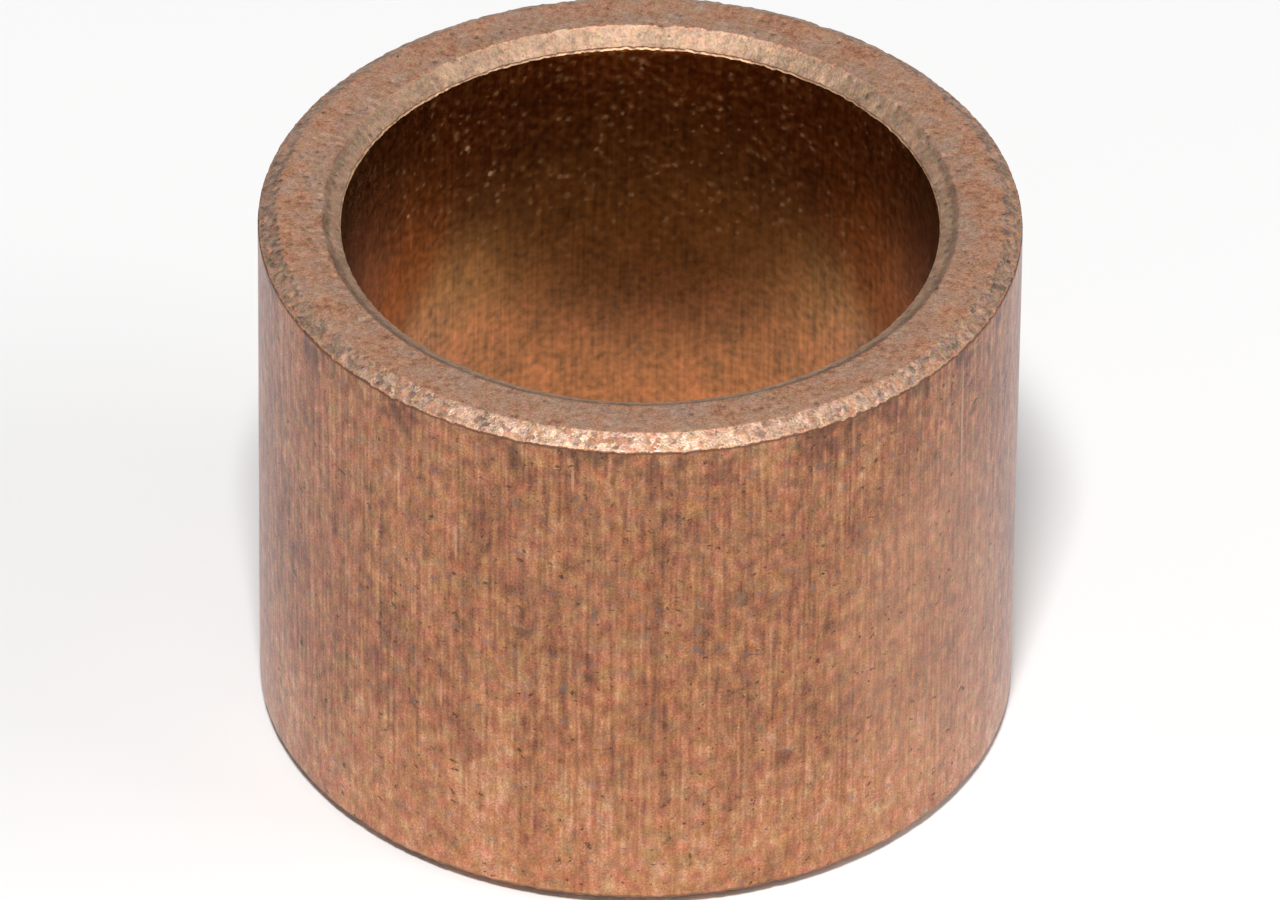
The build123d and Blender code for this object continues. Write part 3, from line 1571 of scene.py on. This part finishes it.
@dataclass(frozen=True)
class StudioCamera:
    """The photograph's viewpoint: a long lens that looks down on the front of the sleeve.

    Args:
        elevation: angle of the line of sight above the floor.
        distance: distance from the eye to the aim point.
        roll: turn of the camera about its line of sight.
        aim_below_top: height of the upper end above the aim point.
        aim_right: distance of the aim point to the right of the axis.
        lens: focal length in millimetres on a sensor 36 mm wide.
        clear: distance from the eye within which nothing is seen.
    """

    elevation: float = math.radians(37.377)
    distance: float = 371.3 * MM
    roll: float = math.radians(0.612)
    aim_below_top: float = 6.262 * MM
    aim_right: float = 0.045 * MM
    lens: float = 495.2
    clear: float = 10 * MM

    def build(self, top: float) -> None:
        """Places the camera.

        Args:
            top: height of the sleeve's upper end.
        """
        back = np.array([0.0, -math.cos(self.elevation), math.sin(self.elevation)])
        right = np.array([1.0, 0.0, 0.0])
        up = np.cross(back, right)
        eye = np.array([self.aim_right, 0.0, top - self.aim_below_top]) + back * self.distance
        x_axis = math.cos(self.roll) * right + math.sin(self.roll) * up
        y_axis = math.cos(self.roll) * up - math.sin(self.roll) * right
        data = bpy.data.cameras.new("camera")
        data.lens = self.lens
        data.clip_start = self.clear
        camera = bpy.data.objects.new("camera", data)
        camera.matrix_world = pose(x_axis, y_axis, back, eye)
        bpy.context.scene.collection.objects.link(camera)
        bpy.context.scene.camera = camera


def pose(x_axis: np.ndarray, y_axis: np.ndarray, z_axis: np.ndarray, place: np.ndarray) -> Matrix:
    """Matrix that stands something at a place with the given axes.

    Args:
        x_axis: its X axis, of length 1.
        y_axis: its Y axis, of length 1.
        z_axis: its Z axis, of length 1.
        place: its place.

    Returns:
        The matrix.
    """
    columns = np.eye(4)
    columns[:3, 0], columns[:3, 1], columns[:3, 2], columns[:3, 3] = x_axis, y_axis, z_axis, place
    return Matrix(columns.tolist())


@dataclass(frozen=True)
class Lamp:
    """A soft, plain studio lamp that faces the sleeve.

    Args:
        name: name of the lamp.
        azimuth: its place round the sleeve, from the front towards the right.
        elevation: its angle above the floor, as seen from the sleeve.
        distance: its distance from the sleeve.
        width: its width.
        depth: its depth.
        light: light that it throws on a sheet held towards it, where 1 makes white paper white.
    """

    name: str
    azimuth: float
    elevation: float
    distance: float
    width: float
    depth: float
    light: float

    def build(self) -> None:
        """Hangs the lamp. Its power is light times the square of pi times the square of distance."""
        data = bpy.data.lights.new(self.name, "AREA")
        data.shape = "RECTANGLE"
        data.size, data.size_y = self.width, self.depth
        data.energy = self.light * (math.pi * self.distance) ** 2
        flat = math.cos(self.elevation)
        away = np.array([flat * math.sin(self.azimuth), -flat * math.cos(self.azimuth),
                         math.sin(self.elevation)])
        right = SleeveSkin.unit(np.cross([0.0, 0.0, 1.0], away))
        lamp = bpy.data.objects.new(self.name, data)
        lamp.matrix_world = pose(right, np.cross(away, right), away, away * self.distance)
        bpy.context.scene.collection.objects.link(lamp)


@dataclass(frozen=True)
class Studio:
    """A pale floor under a main lamp above the front and a weak one at the right, in white surroundings.

    Args:
        floor_size: side of the square floor.
        floor_shade: grey level of the floor's paint.
        main_lamp: lamp that casts the shadow.
        side_lamp: lamp that lightens the right side.
        room_light: brightness of the surroundings as light on matt surfaces, where 1 is white.
        room_white: brightness of the surroundings as the camera and polished metal see them.
    """

    floor_size: float = 2.0
    floor_shade: float = 0.92
    main_lamp: Lamp = Lamp("main_lamp", azimuth=math.radians(-4.0), elevation=math.radians(61.5),
                           distance=0.6, width=0.10, depth=0.08, light=0.94)
    side_lamp: Lamp = Lamp("side_lamp", azimuth=math.radians(75.0), elevation=math.radians(38.0),
                           distance=0.6, width=0.3, depth=0.3, light=0.2)
    room_light: float = 0.15
    room_white: float = 0.35

    def build(self) -> None:
        """Makes the floor, the lamps and the surroundings."""
        self.floor()
        for lamp in (self.main_lamp, self.side_lamp):
            lamp.build()
        self.room()

    def floor(self) -> None:
        """Makes the floor, a square sheet of matt white paint."""
        half = self.floor_size / 2
        mesh = bpy.data.meshes.new("floor")
        mesh.from_pydata([(-half, -half, 0), (half, -half, 0), (half, half, 0), (-half, half, 0)],
                         [], [(0, 1, 2, 3)])
        floor = bpy.data.objects.new("floor", mesh)
        bpy.context.scene.collection.objects.link(floor)
        material = bpy.data.materials.new("floor_paint")
        material.use_nodes = True
        nodes, links = material.node_tree.nodes, material.node_tree.links
        nodes.clear()
        paint = nodes.new("ShaderNodeBsdfDiffuse")
        paint.inputs["Color"].default_value = (self.floor_shade,) * 3 + (1.0,)
        out = nodes.new("ShaderNodeOutputMaterial")
        links.new(paint.outputs[0], out.inputs["Surface"])
        mesh.materials.append(material)

    def room(self) -> None:
        """Sets the surroundings, which look whiter than the light that they give."""
        world = bpy.data.worlds.new("room")
        bpy.context.scene.world = world
        world.use_nodes = True
        nodes, links = world.node_tree.nodes, world.node_tree.links
        background = nodes["Background"]
        background.inputs["Color"].default_value = (1.0, 1.0, 1.0, 1.0)
        path = nodes.new("ShaderNodeLightPath")
        seen = nodes.new("ShaderNodeMath")
        seen.operation = "MAXIMUM"
        seen_or_through = nodes.new("ShaderNodeMath")
        seen_or_through.operation = "MAXIMUM"
        strength = nodes.new("ShaderNodeMapRange")
        strength.inputs["To Min"].default_value = self.room_light
        strength.inputs["To Max"].default_value = self.room_white
        links.new(path.outputs["Is Camera Ray"], seen.inputs[0])
        links.new(path.outputs["Is Glossy Ray"], seen.inputs[1])
        links.new(seen.outputs[0], seen_or_through.inputs[0])
        links.new(path.outputs["Is Transmission Ray"], seen_or_through.inputs[1])
        links.new(seen_or_through.outputs[0], strength.inputs["Value"])
        links.new(strength.outputs["Result"], background.inputs["Strength"])


def main() -> None:
    """Builds the sleeve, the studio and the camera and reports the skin."""
    logging.basicConfig(level=logging.INFO, format="%(message)s")
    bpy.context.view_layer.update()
    sizes = SleeveSizes.from_frame(frame["record"])
    finishes = [SizedWall(sizes.outer_radius).make(), PressedEnd().make(),
                SizedBore(sizes.bore_radius).make()]
    skin = SleeveSkin(sizes).build(finishes)
    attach(skin, "root")
    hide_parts("bushing")
    LOG.info("%s: %d vertices, %d faces", skin.name, len(skin.data.vertices), len(skin.data.polygons))
    Studio().build()
    StudioCamera().build(sizes.length)
    bpy.context.scene.view_settings.view_transform = "Standard"


if __name__ == "__main__":
    main()
